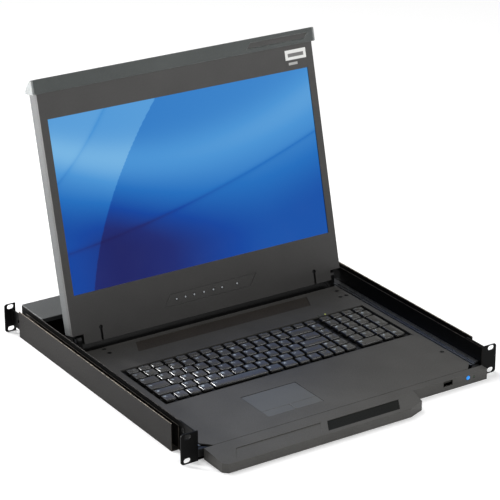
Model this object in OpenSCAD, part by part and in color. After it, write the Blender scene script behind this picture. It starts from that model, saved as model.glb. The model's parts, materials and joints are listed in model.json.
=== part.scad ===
// Rack console drawer, one unit high: a keyboard, touchpad and folding screen on
// ball slides, with the switch electronics in a bay behind them.
// X runs to the right, Y to the back of the rack, Z up. The origin is the centre
// of the four front rack slots, on the front face of the ears. The drawer is in
// and the screen is open.

/* [Rack] */
// Distance between the slot centres across the rack
slot_span = 465.1; // [464.5:0.1:465.7]
// Distance between the upper and the lower slot
slot_rise = 31.75; // [31:0.05:32.5]
// Width over both ears
ear_span = 482.6; // [480:0.1:484]
// Height of an ear
ear_h = 40.6; // [38:0.2:43]
// Thickness of the ear plate
ear_t = 2; // [1.5:0.1:2.4]
// Width of a rack slot
slot_w = 6.8; // [6:0.1:7.5]
// Length of a rack slot, end to end
slot_l = 10; // [8:0.5:12]
// Distance from the front ears to the rear ears
rack_depth = 461; // [456:1:520]

/* [Case] */
// Width over the side walls of the case
case_w = 440; // [438:0.5:441]
// Back of the case
case_back = 450; // [448:0.5:452]
// Underside of the case
case_floor = -20.5; // [-21:0.1:-20.4]
// Top edge of the side walls
case_top = 18.5; // [17:0.1:20]
// Sheet thickness of the case
sheet = 1.2; // [1:0.1:1.4]
// Front of the electronics bay
bay_front = 392; // [390:0.5:396]
// Number of computer ports on the back
port_count = 8; // [4:1:8]

/* [Outer rails] */
// Distance from the centre to the outside of a rail
rail_x = 232; // [231:0.1:233]
// Front end of the rail plate
rail_front = 38; // [37:0.5:44]
// Back end of the rail plate
rail_back = 436; // [430:1:440]
// Top edge of the rail plate
rail_top = 17.4; // [15:0.1:18.4]

/* [Drawer] */
// Width of the deck and the tray under it
deck_w = 414.8; // [412:0.2:415.2]
// Height of the deck surface
deck_z = -5; // [-5.4:0.1:-4.8]
// Back end of the tray
tray_back = 388; // [384:0.5:390]
// Front face of the lower right panel
panel_front = -12; // [-14:0.5:-10]
// Front edge of the pull handle
handle_front = -48.5; // [-52:0.5:-44]
// Height of the handle's front edge
handle_z = -8; // [-9:0.1:-7]
// Underside of the handle and the front panel
panel_floor = -20.3; // [-20.4:0.1:-19]

/* [Keyboard] */
// Distance from key to key
key_pitch = 18.6; // [18.4:0.1:18.6]
// Gap between two keys
key_gap = 2.6; // [2.2:0.1:3.2]
// Height of the key tops
key_top = -3.4; // [-3.8:0.1:-3.2]
// Travel of a key
key_travel = 1.8; // [1.2:0.1:2]
// Left edge of the letter keys
keys_left = -183.7; // [-184.5:0.1:-183]
// Front edge of the letter keys
keys_front = 130.6; // [130:0.1:131.4]

/* [Screen] */
// Width of the screen housing
lid_w = 428.8; // [424:0.2:430]
// Height of the screen housing above the hinge, without the top bar
lid_h = 331.5; // [328:0.5:334]
// Thickness of the screen housing
lid_t = 20.5; // [19:0.1:20.6]
// Width of the visible picture
view_w = 407; // [400:0.5:410]
// Height of the visible picture
view_h = 235; // [228:0.5:237]
// Bottom of the picture above the hinge
view_bottom = 62; // [60:0.5:64]
// Height of the top bar
bar_h = 19; // [16:0.5:20]
// Angle between the closed and the open screen
lid_angle = 103.8; // [95:0.1:110]

/* [Hidden] */
$fn = 48;

ear_x = ear_span / 2;
ear_inner = 217.2;
rear_ear_inner = 225;
ear_round = 3.6;
wall = case_w / 2;
wall_in = wall - sheet;
case_front = 2;
cover_t = 1.2;

arm_in = 228.2;
arm_t = 2;
arm_h = 23;
arm_front = 250;

slide_z = -10.9;
slide_front = 8;
slide_back = 378;

deck_t = 2;
deck_half = deck_w / 2;
tray_floor = -18.3;
deck_front = 0.4;
corner_x = 12;
corner_y = 13;
deck_back = 338;

key_depth_small = 13.4;
row_step = 18.7;
key_h = 3.4;
base_top = key_top - key_h - key_travel - 0.4;
numeric_left = 120.4;

hinge_y = 325.3;
hinge_z = 9.6;
pin_r = 3;
tower_x = 199.2;
notch_x = 198;
notch_h = 9;
face_z = 11;
back_z = face_z - lid_t;
lid_foot = -5;
half = lid_w / 2;
bezel_t = 2;
seam_z = 5;

// computer ports and mains inlet on the back
port_step = 35;
port_left = -92;
port_z = 0;
port_plate = [15.4, 6.2];
port_body = [9.3, 5.3];
port_reach = 6;
jack_x = 12.5;
inlet_x = -180.3;
inlet_body = 13.5;

// circuit boards: sheet, standoffs, and the undersides in the bay and in the drawer
board_t = 1.6;
standoff_r = 2.4;
bay_board = -12.4;
drawer_board = -14.6;

// sheet of the outer rails
rail_t = 1.4;

// openings of the deck: keyboard, then touchpad
main_left = -187;
main_right = 199.4;
main_front = 121;
main_back = 242;
pad_left = -98;
pad_right = -14.5;
pad_front = 26;
pad_back = 91;
pad_mid = (pad_left + pad_right) / 2;
board_top = -8.4;

// deck screws and the row of deck lamps
screw_drop = 1.4;
screw_spots = [
    [198.3, 301], [191, 281], [201, 281], [-171, 311], [-171, 297], [-199, 60], [199, 60]
];
lamp_y = 244.3;
lamp_left = 128.1;
lamp_step = 5.6;

// front panel: socket, power button and lamp on its right part
panel_left = -209.5;
panel_right = 217.5;
handle_right = 97;
usb_x = [146, 161.4];
usb_z = [-14, -6.4];
power_x = 186.4;
power_z = -11;
led_x = 195.9;
led_z = -11.6;

// menu strip and its buttons, and the face of the top bar
strip_u0 = -72.6;
strip_u1 = 65.4;
strip_v0 = 15.8;
strip_v1 = 32.4;
strip_lean = 11.5;
strip_gap = 0.8;
button_r = 2;
button_v = (strip_v0 + strip_v1) / 2;
button_x = [-52, -38, -24, -8.5, 6.5, 20.5, 44.8];
bar_face = face_z + 1.6;

steel_black = [0.13, 0.12, 0.12];
rail_brown = [0.25, 0.23, 0.22];
shell_grey = [0.28, 0.29, 0.29];
deck_grey = [0.25, 0.25, 0.25];

// ---------- shared shapes ----------

module box(x0, x1, y0, y1, z0, z1)
    translate([x0, y0, z0]) cube([x1 - x0, y1 - y0, z1 - z0]);

module left_hand() mirror([1, 0, 0]) children();

module pair() {
    children();
    mirror([1, 0, 0]) children();
}

// Everything inside is drawn with the hinge axis as its origin, Y up the screen
// and Z out of the picture.
module lid_pose()
    translate([0, hinge_y, hinge_z]) rotate([180 - lid_angle, 0, 0]) children();

// A slot lying along X, through a plate that faces Y
module slot_y(x, z, l, w, y0, y1)
    translate([x, y1, z]) rotate([90, 0, 0]) linear_extrude(y1 - y0) union() {
        square([l - w, w], center = true);
        for (s = [-1, 1]) translate([s * (l - w) / 2, 0]) circle(d = w);
    }

// A bar lying along X whose ends lean: the far edge is shifted by lean
module leaning(x0, x1, y0, y1, lean, z0, z1)
    translate([0, 0, z0]) linear_extrude(z1 - z0)
        polygon([[x0, y0], [x1, y0], [x1 + lean, y1], [x0 + lean, y1]]);

// Ear plate in the XZ plane with its outer corners rounded
module ear_plate(x0, x1, y0, y1) translate([0, y1, 0]) rotate([90, 0, 0])
    linear_extrude(y1 - y0) union() {
        translate([x0, -ear_h / 2]) square([x1 - ear_round - x0, ear_h]);
        translate([x1 - ear_round, ear_round - ear_h / 2])
            square([ear_round, ear_h - 2 * ear_round]);
        for (s = [-1, 1]) translate([x1 - ear_round, s * (ear_h / 2 - ear_round)])
            circle(r = ear_round);
    }

// A pan-head screw head facing +Z
module screw_head(r, h) difference() {
    cylinder(r = r, h = h);
    translate([0, 0, h * 0.5]) for (a = [0, 90]) rotate(a)
        translate([-r * 0.6, -r * 0.13, 0]) cube([r * 1.2, r * 0.26, h]);
}

// ---------- case, fixed in the rack ----------

module case_pan() color(steel_black) {
    difference() {
        box(-wall, wall, case_front, case_back, case_floor, case_floor + sheet);
        // vents under the electronics bay
        for (i = [-6 : 6])
            box(i * 26 - 8, i * 26 + 8, 414, 418, case_floor - 1, case_floor + 2);
    }
    pair() box(wall_in, wall, case_front, case_back, case_floor + sheet, case_top);
}

module rear_cover() color(shell_grey) {
    box(-wall, wall, bay_front, case_back, case_top, case_top + cover_t);
    box(-wall_in + 0.2, wall_in - 0.2, bay_front, bay_front + 1.2, case_top - 5, case_top);
}

module bay_divider() color(steel_black) difference() {
    box(-wall_in, wall_in, bay_front + 1.4, bay_front + 2.6, case_floor + sheet, case_top);
    box(-60, 60, bay_front, bay_front + 4, -14, -6);
}

function port_x(i) = port_left + i * port_step;

module rear_panel() color(steel_black) {
    y0 = case_back - sheet;
    difference() {
        box(-wall_in, wall_in, y0, case_back, case_floor + sheet, case_top);
        for (i = [0 : port_count - 1])
            box(port_x(i) - port_body[0] - 0.2, port_x(i) + port_body[0] + 0.2, y0 - 1,
                case_back + 1, port_z - port_body[1] - 0.2, port_z + port_body[1] + 0.2);
        box(inlet_x - inlet_body - 0.2, inlet_x + inlet_body + 0.2, y0 - 1, case_back + 1, -10, 10);
        for (i = [0 : 5])
            slot_y(-135, -10 + i * 4, 34, 2, y0 - 1, case_back + 1);
    }
}

// D-shaped outline of a video and keyboard port
module d_shape(w, h) polygon([
    [-w / 2, h / 2], [w / 2, h / 2], [w / 2 - 1.4, -h / 2], [-w / 2 + 1.4, -h / 2]
]);

module port_connectors() color([0.2, 0.25, 0.45])
    for (i = [0 : port_count - 1]) translate([port_x(i), 0, port_z]) {
        box(-port_plate[0], port_plate[0], case_back, case_back + 0.8, -port_plate[1],
            port_plate[1]);
        translate([0, case_back + port_reach, 0]) rotate([90, 0, 0])
            linear_extrude(port_reach - 0.8) d_shape(17, 8.6);
        box(-port_body[0], port_body[0], case_back - 10, case_back, -port_body[1], port_body[1]);
    }

module port_jack_screws() color([0.6, 0.58, 0.5])
    for (i = [0 : port_count - 1]) for (s = [-1, 1])
        translate([port_x(i) + s * jack_x, case_back + 5.8, port_z]) rotate([90, 0, 0])
            difference() {
                cylinder(r = 2.6, h = 5, $fn = 6);
                translate([0, 0, -1]) cylinder(r = 1.3, h = 5);
            }

module power_inlet() color("black") translate([inlet_x, case_back, 0]) {
    difference() {
        union() {
            box(-15.5, 15.5, 0, 2, -12, 12);
            box(-inlet_body, inlet_body, -20, 0, -9.8, 9.8);
        }
        box(-12, 12, -15, 3, -8, 8);
    }
    for (s = [-1, 1]) box(s * 7 - 1, s * 7 + 1, -15, 0, -4, 0);
    box(-1, 1, -15, 1, 1, 5);
}

module switch_board() color([0.08, 0.3, 0.15]) {
    top = bay_board + board_t;
    box(-112, 206, 400, 438, bay_board, top);
    for (i = [0 : 5]) box(-95 + i * 48, -79 + i * 48, 408, 424, top, top + 2);
    box(-50, 50, 402, 406, top, top + 5);
    for (x = [-108, 202]) for (y = [404, 434]) translate([x, y, case_floor + sheet])
        cylinder(r = standoff_r, h = bay_board - case_floor - sheet);
}

module power_supply() color([0.55, 0.56, 0.58])
    box(-214, -118, 398, 428, case_floor + sheet, 12);

// U-shaped rail on the outside of the case wall, open at the top
module rail_right() color(rail_brown) {
    box(rail_x - rail_t, rail_x, rail_front, rail_back, case_floor, rail_top);
    box(wall, rail_x - rail_t, rail_front, rail_back, case_floor, case_floor + rail_t);
    box(wall, wall + rail_t, rail_front, rail_back, case_floor + rail_t, 12);
    // clamp block that grips the arm of the rear ear
    difference() {
        box(wall + rail_t, arm_in - 0.35, rail_back - 36, rail_back - 6, -9, 9);
        for (y = [rail_back - 29, rail_back - 13]) translate([0, y, 0]) rotate([0, 90, 0])
            translate([0, 0, wall + 2.4]) cylinder(r = 2.5, h = 8);
    }
}
module rail_left() left_hand() rail_right();

module front_ear_right() color(steel_black) difference() {
    union() {
        ear_plate(ear_inner, ear_x, 0, ear_t);
        box(wall, wall + ear_t, ear_t, 36, -ear_h / 2, ear_h / 2);
    }
    for (s = [-1, 1])
        slot_y(slot_span / 2, s * slot_rise / 2, slot_l, slot_w, -1, ear_t + 1);
}
module front_ear_left() left_hand() front_ear_right();

module ear_screws() color([0.2, 0.2, 0.2]) pair() for (z = [-11, 11])
    translate([wall + ear_t, 26, z]) rotate([0, 90, 0]) screw_head(3.2, 0.8);

module rear_ear_right() color(steel_black) {
    y0 = rack_depth - ear_t;
    difference() {
        union() {
            box(arm_in, arm_in + arm_t, arm_front, y0, -arm_h / 2, arm_h / 2);
            box(arm_in, arm_in + arm_t, y0, rack_depth, -arm_h / 2, arm_h / 2);
        }
        for (y = [arm_front + 14, rack_depth - 76]) translate([arm_in - 1, y, -2.6])
            cube([arm_t + 2, 58, 5.2]);
    }
    difference() {
        ear_plate(rear_ear_inner, ear_x, y0, rack_depth);
        for (s = [-1, 1])
            slot_y(slot_span / 2, s * slot_rise / 2, slot_l, slot_w, y0 - 1, rack_depth + 1);
    }
}
module rear_ear_left() left_hand() rear_ear_right();

// ---------- ball slides ----------

// A channel that opens towards the centre: web at x1, lips back to x0
module channel(x0, x1, t, h, y0, y1) {
    box(x1 - t, x1, y0, y1, slide_z - h / 2, slide_z + h / 2);
    for (s = [-1, 1])
        box(x0, x1 - t, y0, y1, slide_z + s * (h / 2 - t / 2) - t / 2,
            slide_z + s * (h / 2 - t / 2) + t / 2);
}

module slide_outer_right() color([0.5, 0.5, 0.52])
    channel(212.6, wall_in, 1.4, 16, slide_front, slide_back);
module slide_outer_left() left_hand() slide_outer_right();

module slide_middle_right() color([0.6, 0.6, 0.62])
    channel(210.6, 216.6, 1.2, 12.2, slide_front, slide_back);
module slide_middle_left() left_hand() slide_middle_right();

module slide_inner_right() color([0.5, 0.5, 0.52]) {
    box(deck_half, deck_half + 1.4, slide_front + 2, slide_back, slide_z - 4.2, slide_z + 4.2);
    for (s = [-1, 1])
        box(deck_half + 1.4, 214.6, slide_front + 2, slide_back,
            slide_z + s * 3.6 - 0.6, slide_z + s * 3.6 + 0.6);
}
module slide_inner_left() left_hand() slide_inner_right();

// ---------- drawer ----------

module deck_plan(y0, y1, inset) polygon([
    [-deck_half + inset, y0 + corner_y], [-deck_half + inset + corner_x, y0],
    [deck_half - inset - corner_x, y0], [deck_half - inset, y0 + corner_y],
    [deck_half - inset, y1], [-deck_half + inset, y1]
]);

module drawer_tray() color(steel_black) difference() {
    translate([0, 0, tray_floor]) linear_extrude(deck_z - deck_t - tray_floor)
        deck_plan(deck_front, tray_back, 0);
    translate([0, 0, tray_floor + sheet]) linear_extrude(30)
        deck_plan(deck_front + sheet, tray_back - sheet, sheet);
    for (i = [-2 : 2]) box(i * 60 - 20, i * 60 + 20, 350, 354, tray_floor - 1, tray_floor + 2);
}

module cable_cover() color(steel_black) {
    box(-deck_half + 0.2, deck_half - 0.2, deck_back + 0.2, tray_back - 0.2,
        deck_z - deck_t, deck_z - deck_t + 1);
    box(-deck_half + 1.4, deck_half - 1.4, deck_back + 0.4, deck_back + 1.4,
        tray_floor + sheet, deck_z - deck_t);
}

module console_board() color([0.08, 0.3, 0.15]) {
    top = drawer_board + board_t;
    box(-90, 150, 256, 326, drawer_board, top);
    for (i = [0 : 3]) box(-70 + i * 52, -52 + i * 52, 280, 298, top, top + 2);
    for (x = [-86, 146]) for (y = [260, 322])
        translate([x, y, tray_floor + sheet])
            cylinder(r = standoff_r, h = drawer_board - tray_floor - sheet);
}

function lamp_x(i) = lamp_left + i * lamp_step;

module deck() color(deck_grey) difference() {
    translate([0, 0, deck_z - deck_t]) linear_extrude(deck_t)
        deck_plan(deck_front, deck_back, 0);
    box(main_left, main_right, main_front + 7, main_back, deck_z - 4, deck_z + 1);
    // sloping front edge of the keyboard opening
    translate([main_left, 0, 0]) rotate([90, 0, 90]) linear_extrude(main_right - main_left)
        polygon([[main_front, deck_z + 0.01], [main_front + 7.01, deck_z + 0.01],
                 [main_front + 7.01, deck_z - 1.4]]);
    box(pad_left, pad_right, pad_front, pad_back, deck_z - 4, deck_z + 1);
    // shallow leaning panel behind the keyboard
    leaning(-136.4, 139.6, 279.5, 308, 12, deck_z - 0.6, deck_z + 1);
    for (p = screw_spots) translate([p[0], p[1], 0]) {
        translate([0, 0, deck_z - screw_drop]) cylinder(r = 3.1, h = 4);
        translate([0, 0, deck_z - 4]) cylinder(r = 1.7, h = 6);
    }
    pair() box(tower_x - 0.4, deck_half + 1, hinge_y - 8.6, hinge_y + 8.6, deck_z - 4, deck_z + 1);
    for (i = [0 : 2]) translate([lamp_x(i), lamp_y, deck_z - 4]) cylinder(r = 1.3, h = 6);
}

module deck_screws() color([0.12, 0.12, 0.12]) for (p = screw_spots)
    translate([p[0], p[1], deck_z - screw_drop]) {
        screw_head(2.7, 1.1);
        translate([0, 0, -3.4]) cylinder(r = 1.5, h = 3.4);
    }

module keyboard_base() color([0.08, 0.08, 0.08]) difference() {
    box(main_left - 3, main_right + 3, main_front + 3, main_back + 3, base_top - 1.2, deck_z - deck_t);
    box(main_left - 1, main_right + 1, main_front + 5, main_back + 1, base_top, deck_z);
}

// One key cap: x and y are its lower left corner, w and d its size
module key(x, y, w, d) {
    g = key_gap / 2;
    box(x + g, x + w - g, y + g, y + d - g, key_top - key_h, key_top - 1.2);
    box(x + g + 1, x + w - g - 1, y + g + 0.7, y + d - g - 1.2, key_top - 1.2, key_top);
}

function row_y(i) = keys_front + i * row_step;
function run(v, n) = n <= 0 ? 0 : v[n - 1] + run(v, n - 1);

// A row of keys from the left edge; widths are in key pitches
module key_row(x0, row, widths, d) for (i = [0 : len(widths) - 1])
    key(x0 + run(widths, i) * key_pitch, row_y(row), widths[i] * key_pitch, d);

module function_keys() color(deck_grey)
    key_row(keys_left, 5, [for (i = [1 : 16]) 1], key_depth_small);

module number_keys() color(deck_grey)
    key_row(keys_left, 4, concat([for (i = [1 : 13]) 1], [2, 1]), row_step);

module upper_keys() color(deck_grey)
    key_row(keys_left, 3, concat([1.5], [for (i = [1 : 12]) 1], [1.5, 1]), row_step);

module home_keys() color(deck_grey) {
    key_row(keys_left, 2, concat([1.75], [for (i = [1 : 11]) 1]), row_step);
    key_row(keys_left + 15 * key_pitch, 2, [1], row_step);
}

module enter_key() color(deck_grey)
    key_row(keys_left + 12.75 * key_pitch, 2, [2.25], row_step);

module lower_keys() color(deck_grey)
    key_row(keys_left, 1, concat([2.25], [for (i = [1 : 10]) 1], [1.75, 1, 1]), row_step);

module bottom_keys() color(deck_grey) {
    key_row(keys_left, 0, [1, 1, 1, 1], row_step);
    key_row(keys_left + 8.5 * key_pitch, 0, [1.25, 1.25, 1, 1, 1, 1, 1], row_step);
}

module space_bar() color(deck_grey)
    key_row(keys_left + 4 * key_pitch, 0, [4.5], row_step);

module numeric_keys() color(deck_grey) {
    key_row(numeric_left, 5, [1, 1, 1, 1], key_depth_small);
    key_row(numeric_left, 4, [1, 1, 1, 1], row_step);
    for (r = [1 : 3]) key_row(numeric_left, r, [1, 1, 1], row_step);
    key_row(numeric_left, 0, [2, 1], row_step);
    for (r = [0, 2])
        key(numeric_left + 3 * key_pitch, row_y(r), key_pitch, 2 * row_step);
}

module touchpad_board() color([0.08, 0.3, 0.15]) difference() {
    box(pad_left - 3, pad_right + 3, pad_front - 3, pad_back + 3, board_top - 1.2,
        deck_z - deck_t);
    box(pad_left - 1, pad_right + 1, pad_front - 1, pad_back + 1, board_top, deck_z);
}

module touchpad() color([0.3, 0.3, 0.3])
    box(pad_left + 0.4, pad_right - 0.4, 43, pad_back - 0.4, board_top, deck_z - 0.4);

module left_button() color([0.3, 0.3, 0.3])
    box(pad_left + 0.4, pad_mid - 0.3, pad_front + 0.4, 42.4, deck_z - 2.2, deck_z - 0.2);
module right_button() color([0.3, 0.3, 0.3])
    box(pad_mid + 0.3, pad_right - 0.4, pad_front + 0.4, 42.4, deck_z - 2.2, deck_z - 0.2);

// ---------- front panel with the pull handle ----------

// Plan of the front panel, drawn inwards by inset
module panel_plan(inset) polygon([
    [panel_left + inset, -0.6], [panel_left + inset, handle_front + 7.5],
    [panel_left + 7 + inset * 0.5, handle_front + inset], [65, handle_front + inset],
    [91.5 - inset * 0.7, -38.5 + inset * 0.3], [handle_right - inset, panel_front + inset],
    [panel_right - inset, panel_front + inset], [panel_right - inset, -0.6]
]);

// Everything that lies higher than d below the top of the panel
module above_top(d) translate([panel_left, 0, 0]) rotate([90, 0, 90])
    linear_extrude(panel_right - panel_left) polygon([
        [0, 5], [0, deck_z - d], [panel_front, deck_z - 0.4 - d],
        [handle_front + 1.6, handle_z + 0.1 - d], [handle_front + 1.6, 5]
    ]);

module front_panel() color(deck_grey) difference() {
    union() {
        intersection() {
            translate([0, 0, panel_floor]) linear_extrude(20) panel_plan(0);
            // the top falls gently towards the front edge and is rounded off there
            translate([panel_left, 0, 0]) rotate([90, 0, 90])
                linear_extrude(panel_right - panel_left) polygon([
                    [0, panel_floor], [0, deck_z], [panel_front, deck_z - 0.4],
                    [handle_front + 1.6, handle_z + 0.1], [handle_front + 0.4, handle_z - 0.6],
                    [handle_front, handle_z - 1.8], [handle_front, panel_floor + 1.5],
                    [handle_front + 1.5, panel_floor]
                ]);
        }
        // tongue that closes the drawer's front
        box(-deck_half + corner_x + 1, deck_half - corner_x - 1, -0.6, deck_front,
            tray_floor, deck_z - 0.3);
    }
    // the inside is hollow and open to the tray
    intersection() {
        translate([0, 0, panel_floor + 2.4]) linear_extrude(20) panel_plan(2.4);
        translate([panel_left, 0, 0]) rotate([90, 0, 90])
            linear_extrude(panel_right - panel_left) polygon([
                [1, panel_floor + 2], [1, deck_z - 2.8], [panel_front, deck_z - 3.2],
                [handle_front + 2, handle_z - 2.6], [handle_front + 2, panel_floor + 2]
            ]);
    }
    // shallow label panel, then the pocket of the black inlay
    intersection() {
        leaning(-187.4, -63.4, -38.5, -20, 11.8, -12, 0);
        above_top(0.8);
    }
    intersection() {
        leaning(-54, 55.5, -41, -20.5, 12, -12, 0);
        above_top(1.2);
    }
    box(usb_x[0], usb_x[1], panel_front - 1, panel_front + 9, usb_z[0], usb_z[1]);
    translate([power_x, panel_front + 3, power_z]) rotate([90, 0, 0]) cylinder(r = 3.1, h = 5);
    translate([led_x, panel_front + 3, led_z]) rotate([90, 0, 0]) cylinder(r = 1.9, h = 5);
}

module handle_inlay() color("black") intersection() {
    leaning(-53.6, 55.1, -40.8, -20.7, 11.8, -12, 0);
    difference() {
        above_top(1.2);
        above_top(0.6);
    }
}

module usb_socket() color([0.6, 0.6, 0.62]) {
    difference() {
        box(usb_x[0], usb_x[1], panel_front + 0.4, panel_front + 9, usb_z[0], usb_z[1]);
        box(usb_x[0] + 0.9, usb_x[1] - 0.9, panel_front, panel_front + 8,
            usb_z[0] + 0.8, usb_z[1] - 0.8);
    }
    box(usb_x[0] + 2.4, usb_x[1] - 2.4, panel_front + 1.6, panel_front + 8, -9.6, -7.9);
}

module power_button() color([0.1, 0.45, 0.85]) translate([power_x, panel_front + 2.7, power_z]) {
    rotate([90, 0, 0]) cylinder(r = 2.8, h = 3.5);
    // collar that keeps it behind the panel
    box(-4, 4, 0, 1.1, -3.2, 2.4);
}

module status_lamps() color([0.1, 0.25, 0.12]) {
    translate([led_x, panel_front + 2.6, led_z]) rotate([90, 0, 0]) cylinder(r = 1.9, h = 2.8);
    for (i = [0 : 2]) translate([lamp_x(i), lamp_y, deck_z - deck_t])
        cylinder(r = 1.3, h = deck_t + 0.1);
}

// Finger tab that holds the drawer in, in the cut corner of the deck
module lock_tab_right() color("black") {
    translate([0, 0, -16.5]) linear_extrude(10.6) polygon([
        [deck_half - corner_x + 5, 0.8], [ear_inner - 0.8, 0.8], [ear_inner - 0.8, 7],
        [deck_half + 0.4, 7], [deck_half - 1, 5.4]
    ]);
}
module lock_tab_left() left_hand() lock_tab_right();

// ---------- hinges ----------

module hinge_towers() color("black") pair() difference() {
    union() {
        box(tower_x, deck_half - 1.4, hinge_y - 8, hinge_y + 8, tray_floor + sheet, hinge_z);
        translate([tower_x, hinge_y, hinge_z]) rotate([0, 90, 0])
            cylinder(r = 8, h = deck_half - 1.4 - tower_x);
    }
    translate([tower_x - 1, hinge_y, hinge_z]) rotate([0, 90, 0])
        cylinder(r = pin_r + 0.05, h = 12);
}

module hinge_pins() color([0.6, 0.6, 0.62]) lid_pose() pair()
    translate([186, 0, 0]) rotate([0, 90, 0]) cylinder(r = pin_r, h = deck_half - 1.6 - 186);

// ---------- screen housing ----------

module lid_plan(inset) difference() {
    translate([-half + inset, lid_foot + inset])
        square([lid_w - 2 * inset, lid_h - lid_foot - 2 * inset]);
    pair() translate([notch_x - inset, lid_foot - 1])
        square([half - notch_x + 1 + inset, notch_h - lid_foot + 1 + inset]);
}

module lid_back() color(shell_grey) lid_pose() difference() {
    union() {
        difference() {
            translate([0, 0, back_z]) linear_extrude(seam_z - back_z) lid_plan(0);
            translate([0, 0, back_z + 2]) linear_extrude(30) lid_plan(2);
        }
        pair() box(184, notch_x - 2, -3, 14, back_z + 2, seam_z);
    }
    translate([-notch_x - 1, 0, 0]) rotate([0, 90, 0]) cylinder(r = pin_r, h = notch_x - 185);
    mirror([1, 0, 0]) translate([-notch_x - 1, 0, 0]) rotate([0, 90, 0])
        cylinder(r = pin_r, h = notch_x - 185);
    for (i = [0 : 17]) for (s = [-1, 1])
        translate([s * (40 + i * 7) - 1.5, 250, back_z - 1]) cube([3, 30, 4]);
}

module lid_bezel() color(deck_grey) lid_pose() difference() {
    translate([0, 0, seam_z]) linear_extrude(face_z - seam_z) lid_plan(0);
    translate([0, 0, seam_z - 1]) linear_extrude(face_z - bezel_t - seam_z + 1) lid_plan(2.2);
    box(-view_w / 2, view_w / 2, view_bottom, view_bottom + view_h, 0, 20);
    // keyhole slots at the foot
    pair() {
        translate([171, 13, 0]) cylinder(r = 2.9, h = 20);
        box(169.4, 172.6, lid_foot - 1, 13, 0, 20);
    }
    leaning(strip_u0, strip_u1, strip_v0, strip_v1, strip_lean, face_z - 0.8, 20);
    for (x = button_x) translate([x, button_v, 0]) cylinder(r = button_r + 0.3, h = 20);
}

module hinge_leaves() color("black") lid_pose() pair()
    box(162, 180, -2.4, 44, seam_z + 1, face_z - bezel_t);

module lcd_panel() color([0.6, 0.61, 0.63]) lid_pose()
    box(-207, 207, view_bottom - 4, view_bottom + view_h + 5, -3.5, 7);

module screen_glass() color([0.1, 0.25, 0.65]) lid_pose()
    box(-206, 206, view_bottom - 3, view_bottom + view_h + 4, 7, face_z - bezel_t);

module display_board() color([0.08, 0.3, 0.15]) lid_pose() {
    box(-70, 70, 110, 190, -5.1, -3.5);
    for (i = [0 : 2]) box(-52 + i * 42, -34 + i * 42, 130, 148, -6.3, -5.1);
}

// Section of the bar: a wedge whose back slopes up to the front edge
module bar_section() polygon([
    [bar_face, 0.1], [bar_face, bar_h], [bar_face - 2.4, bar_h + 0.2],
    [5, bar_h - 1.6], [-1.6, bar_h - 6.4], [-7, bar_h - 12.4], [back_z - 1, 3.4],
    [back_z - 1, 0.1]
]);
module bar_run(x0, x1) translate([x0, lid_h, 0]) rotate([90, 0, 90])
    linear_extrude(x1 - x0) mirror([1, -1]) bar_section();

module top_bar() color(shell_grey) lid_pose() difference() {
    bar_run(-217.2, 217.2);
    leaning(108, 203, lid_h + 5.6, lid_h + 13.6, 7, bar_face - 1.5, 20);
}

module bar_end_caps() color([0.55, 0.57, 0.57]) lid_pose() pair() bar_run(217.2, 220);

module menu_strip() color([0.22, 0.22, 0.22]) lid_pose() difference() {
    leaning(strip_u0 + strip_gap, strip_u1 - strip_gap, strip_v0 + strip_gap,
        strip_v1 - strip_gap, strip_lean, face_z - 0.8, face_z - 0.2);
    for (x = button_x) translate([x, button_v, 0]) cylinder(r = button_r + 0.3, h = 20);
}

module menu_buttons() color([0.5, 0.52, 0.55]) lid_pose()
    for (x = button_x) translate([x, button_v, seam_z + 2])
        cylinder(r = button_r, h = face_z - seam_z - 2.1);

case_pan();
rear_cover();
bay_divider();
rear_panel();
port_connectors();
port_jack_screws();
power_inlet();
switch_board();
power_supply();
rail_left();
rail_right();
front_ear_left();
front_ear_right();
ear_screws();
rear_ear_left();
rear_ear_right();
slide_outer_left();
slide_outer_right();
slide_middle_left();
slide_middle_right();
slide_inner_left();
slide_inner_right();
drawer_tray();
cable_cover();
console_board();
deck();
deck_screws();
keyboard_base();
function_keys();
number_keys();
upper_keys();
home_keys();
lower_keys();
bottom_keys();
space_bar();
enter_key();
numeric_keys();
touchpad_board();
touchpad();
left_button();
right_button();
front_panel();
handle_inlay();
usb_socket();
power_button();
status_lamps();
lock_tab_left();
lock_tab_right();
hinge_towers();
hinge_pins();
lid_back();
lid_bezel();
hinge_leaves();
lcd_panel();
screen_glass();
display_board();
top_bar();
bar_end_caps();
menu_strip();
menu_buttons();
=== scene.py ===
# %% [markdown]
# # A rack console drawer in Blender
#
# The object is a one-unit drawer for a 19-inch rack: a steel case with slotted ears, a moulded keyboard deck on
# slides, and a screen that folds up from the deck. The imported model already holds every part at its real size.
# This lesson gives those parts the rounded edges, key caps, textures and wear of the real thing, with painted
# highlights on the edges and painted shade in a few places, and never moves or resizes them.
#
# ## Load the frame
#
# Everything is in metres, with X to the right, Y to the back of the rack and Z up. The box of
# the model is noted first, because the finished looks have to stay inside it.

# %% Load the frame
import json
import math

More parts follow.
